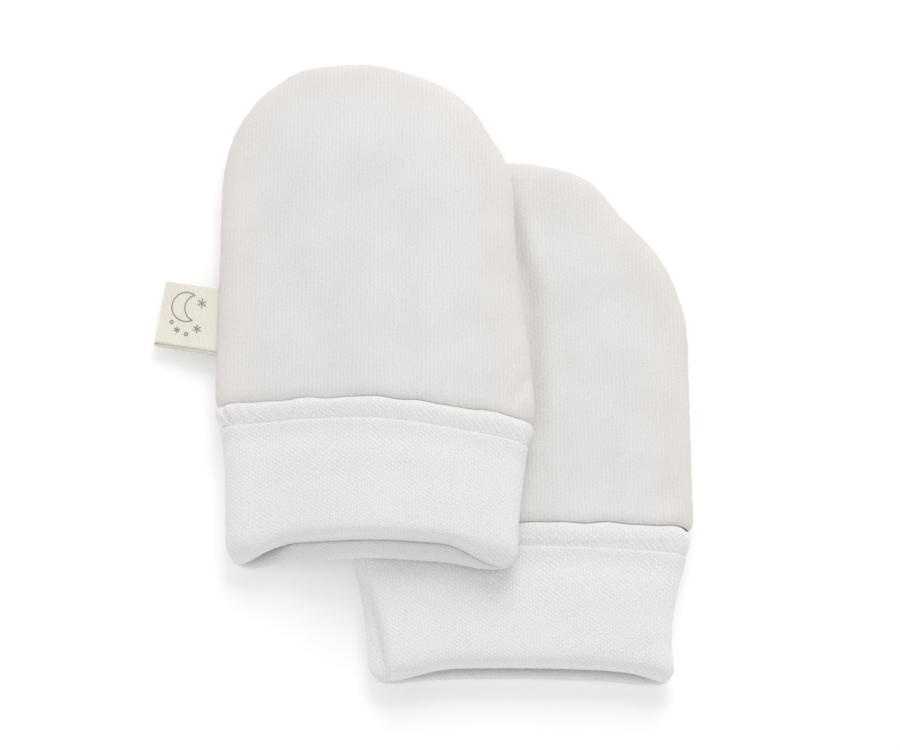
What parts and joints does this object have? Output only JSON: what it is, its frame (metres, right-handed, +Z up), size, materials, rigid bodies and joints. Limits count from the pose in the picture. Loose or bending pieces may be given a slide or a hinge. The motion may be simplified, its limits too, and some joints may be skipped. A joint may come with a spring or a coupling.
{
  "type": "pair of baby mittens",
  "caption": "Thumbless newborn mittens of soft knit with turned-back rib cuffs, laid flat with one partly resting on the other.",
  "frame": {"origin": "middle of the pair's footprint, on the surface that it lies on", "axes": "+Z up from the surface, +Y towards the fingertips, +X across the hands towards the mitten that lies underneath"},
  "size_m": [0.1338, 0.1602, 0.021],
  "materials": {
    "body_knit": "soft brushed cotton interlock, matt",
    "rib_cuff": "fine cotton rib, matt",
    "label_tape": "woven cotton tape with a printed line motif"
  },
  "bodies": {
    "root": {"left_mitten_front": "body_knit", "left_mitten_back": "body_knit", "left_mitten_cuff": "rib_cuff", "left_mitten_label": "label_tape", "right_mitten_front": "body_knit", "right_mitten_back": "body_knit", "right_mitten_cuff": "rib_cuff"}
  },
  "joints": []
}
